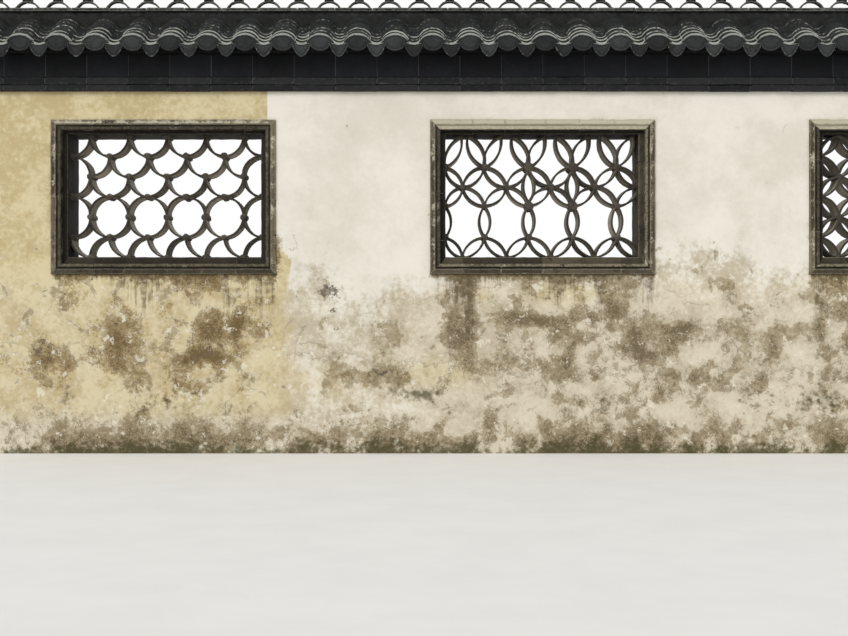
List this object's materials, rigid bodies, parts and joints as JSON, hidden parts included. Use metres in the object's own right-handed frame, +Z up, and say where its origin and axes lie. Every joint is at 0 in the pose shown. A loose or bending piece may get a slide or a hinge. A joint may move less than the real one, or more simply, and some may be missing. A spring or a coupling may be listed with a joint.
{
  "type": "garden wall with tile-lattice windows",
  "caption": "White-plastered garden wall length with a grey tile coping and openwork ridge, its framed windows filled with lattices of curved tiles.",
  "frame": {"origin": "on the ground at the middle of the wall's footprint", "axes": "+X along the wall's length, +Z up, the front face looks towards -Y"},
  "size_m": [6.6, 0.614, 2.763],
  "materials": {
    "plaster": "weathered lime plaster",
    "frame_brick": "rubbed grey brick, worn",
    "lattice_tile": "dark fired clay, pale worn edges",
    "dark_brick": "dark grey brick",
    "facing_tile": "near-black facing tile",
    "roof_tile": "grey roof tile, lichened",
    "eaves_tile": "moulded grey tile",
    "ridge_mortar": "grey lime mortar",
    "ridge_tile": "dark grey arched tile"
  },
  "bodies": {
    "root": {"lower_wall": "plaster", "upper_wall": "plaster", "left_end_pier": "plaster", "left_pier": "plaster", "right_pier": "plaster", "right_end_pier": "plaster", "left_head": "frame_brick", "left_sill": "frame_brick", "left_left_jamb": "frame_brick", "left_right_jamb": "frame_brick", "left_lattice": "lattice_tile", "centre_head": "frame_brick", "centre_sill": "frame_brick", "centre_left_jamb": "frame_brick", "centre_right_jamb": "frame_brick", "centre_lattice": "lattice_tile", "right_head": "frame_brick", "right_sill": "frame_brick", "right_left_jamb": "frame_brick", "right_right_jamb": "frame_brick", "right_lattice": "lattice_tile", "front_string_course": "dark_brick", "front_fascia": "facing_tile", "front_eaves_course": "dark_brick", "front_roof_slope": "roof_tile", "front_cover_tiles": "roof_tile", "front_drip_tiles": "eaves_tile", "front_eaves_end_tiles": "eaves_tile", "back_string_course": "dark_brick", "back_fascia": "facing_tile", "back_eaves_course": "dark_brick", "back_roof_slope": "roof_tile", "back_cover_tiles": "roof_tile", "back_drip_tiles": "eaves_tile", "back_eaves_end_tiles": "eaves_tile", "ridge_base": "ridge_mortar", "ridge_course": "ridge_tile", "ridge_arches": "ridge_tile", "ridge_cap_course": "ridge_tile", "ridge_cap": "ridge_tile"}
  },
  "joints": []
}
